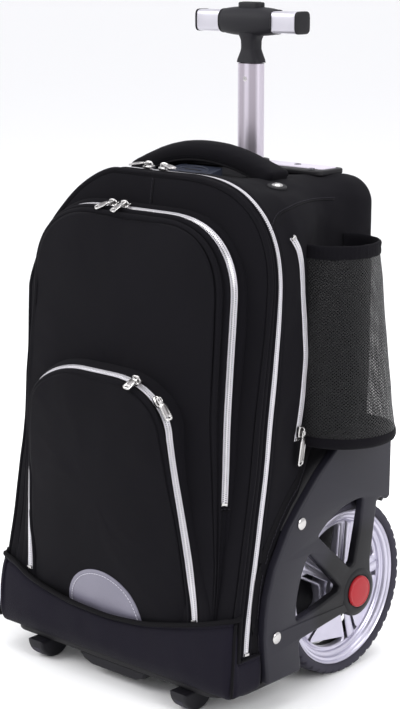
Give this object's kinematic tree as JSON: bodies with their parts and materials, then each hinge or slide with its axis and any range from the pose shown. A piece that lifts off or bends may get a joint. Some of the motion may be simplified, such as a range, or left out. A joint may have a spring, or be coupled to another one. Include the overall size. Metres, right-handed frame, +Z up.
{
  "type": "wheeled backpack",
  "caption": "Soft wheeled backpack with zipped front pockets, mesh side pockets, large guarded wheels and a telescopic T handle.",
  "frame": {"origin": "on the floor, under the middle of the bounding box", "axes": "+Z up, the front pockets face -Y, +X to the side with the wheel seen in the picture"},
  "size_m": [0.3892, 0.2864, 0.6282],
  "materials": {
    "fabric": "woven nylon, matt",
    "base_fabric": "coated nylon, slight sheen",
    "mesh": "open knitted mesh",
    "zip": "silver coil on dark tape",
    "nickel": "polished",
    "reflector": "grey reflecting film",
    "guard": "fine grain",
    "grip_rubber": "matt",
    "tyre": "matt",
    "rim": "silver",
    "red_cap": "plain red, left bare",
    "steel": "plain",
    "tube": "anodised"
  },
  "bodies": {
    "bag": {"axle_left": "steel", "axle_right": "steel", "back_pad": "fabric", "base_band": "base_fabric", "base_plate": "guard", "bottle_pocket_left": "mesh", "bottle_pocket_right": "mesh", "cable_patch": "grip_rubber", "foot_left": "grip_rubber", "foot_right": "grip_rubber", "front_pocket": "fabric", "grab_handle": "fabric", "grab_rivet_left": "nickel", "grab_rivet_right": "nickel", "guard_left": "guard", "guard_right": "guard", "guard_rivet_lower_left": "nickel", "guard_rivet_lower_right": "nickel", "guard_rivet_upper_left": "nickel", "guard_rivet_upper_right": "nickel", "handle_housing": "steel", "hub_cap_left": "red_cap", "hub_cap_right": "red_cap", "lower_pocket": "fabric", "main_shell": "fabric", "pocket_hem_left": "fabric", "pocket_hem_right": "fabric", "reflector": "reflector", "shoulder_strap_left": "fabric", "shoulder_strap_right": "fabric", "skid": "grip_rubber", "slider_front_a": "nickel", "slider_front_b": "nickel", "slider_lower_a": "nickel", "slider_lower_b": "nickel", "slider_main_a": "nickel", "slider_main_b": "nickel", "slider_side_left": "nickel", "slider_side_right": "nickel", "strap_webbing_left": "fabric", "strap_webbing_right": "fabric", "top_plate": "tube", "zip_front": "zip", "zip_lower": "zip", "zip_main": "zip", "zip_side_left": "zip", "zip_side_right": "zip"},
    "wheel_right": {"tyre_right": "tyre", "rim_right": "rim"},
    "wheel_left": {"tyre_left": "tyre", "rim_left": "rim"},
    "lower_stage": {"outer_tube": "tube"},
    "upper_stage": {"inner_tube": "tube", "grip": "grip_rubber", "grip_sleeve_right": "tube", "grip_sleeve_left": "tube", "grip_end_right": "grip_rubber", "grip_end_left": "grip_rubber"},
    "button": {"release_button": "grip_rubber"}
  },
  "joints": [
    {"name": "wheel_spin_right", "type": "hinge", "parent": "bag", "child": "wheel_right", "pos_m": [0.1286, 0.05819, 0.085], "axis": [1, 0, 0], "continuous": true},
    {"name": "wheel_spin_left", "type": "hinge", "parent": "bag", "child": "wheel_left", "pos_m": [-0.1286, 0.05819, 0.085], "axis": [1, 0, 0], "continuous": true},
    {"name": "lower_stage_slide", "type": "slide", "parent": "bag", "child": "lower_stage", "axis": [0, 0, 1], "range_m": [0, 0.21]},
    {"name": "upper_stage_slide", "type": "slide", "parent": "lower_stage", "child": "upper_stage", "axis": [0, 0, 1], "range_m": [-0.09, 0.19]},
    {"name": "release_press", "type": "slide", "parent": "upper_stage", "child": "button", "axis": [0, 0, -1], "range_m": [0, 0.0035], "stiffness_N_per_m": 500}
  ]
}
